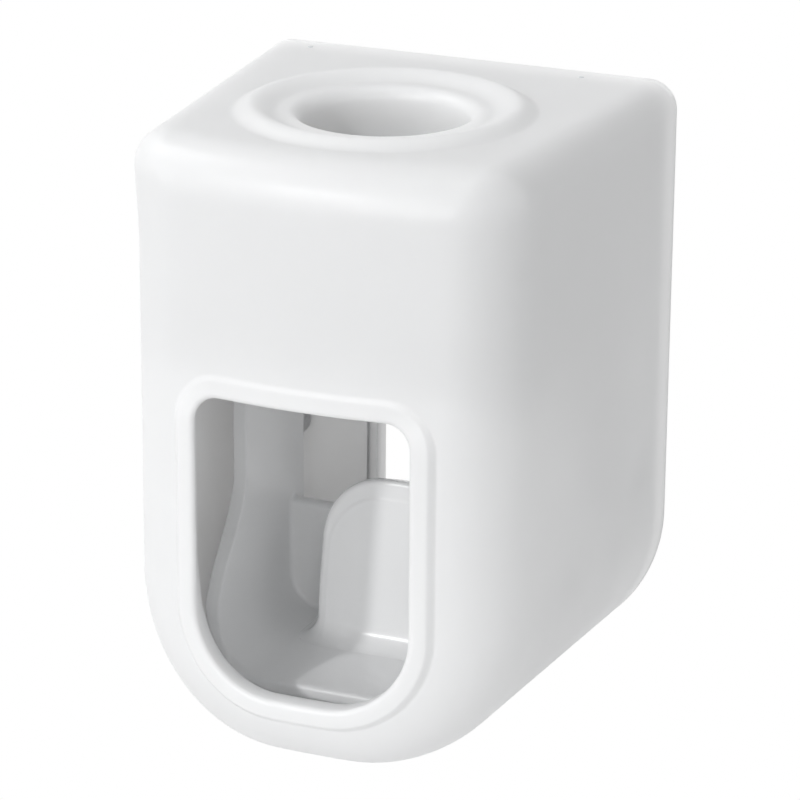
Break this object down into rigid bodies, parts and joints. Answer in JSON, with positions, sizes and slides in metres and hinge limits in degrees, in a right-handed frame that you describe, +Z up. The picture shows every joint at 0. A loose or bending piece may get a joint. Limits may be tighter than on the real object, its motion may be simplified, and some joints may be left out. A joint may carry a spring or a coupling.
{
  "type": "toothpaste dispenser",
  "caption": "Wall-mounted white toothpaste dispenser: pushing the pad behind the window with a brush pumps paste from a tube held upside down in the top.",
  "frame": {"origin": "middle of the adhesive pad's wall face", "axes": "+Y into the wall, the window faces -Y, +Z up, +X to the right seen from the front"},
  "size_m": [0.062, 0.0594, 0.0863],
  "materials": {
    "casing_white": "satin moulded white",
    "cover_white": "fine matt moulded white",
    "scoop_white": "satin moulded white",
    "pad_white": "smooth white",
    "pump_plastic": "natural polypropylene",
    "silicone": "translucent silicone",
    "black_rubber": "moulded rubber",
    "foam": "adhesive foam",
    "plate_plastic": "matt moulded",
    "steel": "zinc plated steel",
    "spring_steel": "drawn stainless wire"
  },
  "bodies": {
    "wall_plate": {"wall_plate": "plate_plastic", "adhesive_pad": "foam"},
    "casing": {"casing": "casing_white", "back_cover": "cover_white", "back_screws": "steel", "pump_body": "pump_plastic", "pump_screws": "steel", "neck_seal": "silicone", "seal_collar": "casing_white", "inlet_valve": "silicone", "outlet_valve": "silicone", "nozzle": "casing_white", "return_spring": "spring_steel"},
    "pusher": {"pusher": "scoop_white", "push_pad": "pad_white", "yoke": "pump_plastic", "yoke_screws": "steel", "piston": "pump_plastic", "piston_screw": "steel", "piston_seal": "black_rubber"}
  },
  "joints": [
    {"name": "casing_lift", "type": "slide", "parent": "wall_plate", "child": "casing", "axis": [0, 0, 1], "range_m": [0, 0.008]},
    {"name": "pusher_slide", "type": "slide", "parent": "casing", "child": "pusher", "axis": [0, 1, 0], "range_m": [0, 0.007], "stiffness_N_per_m": 150, "springref_m": -0.004, "deforming": ["return_spring"]}
  ]
}
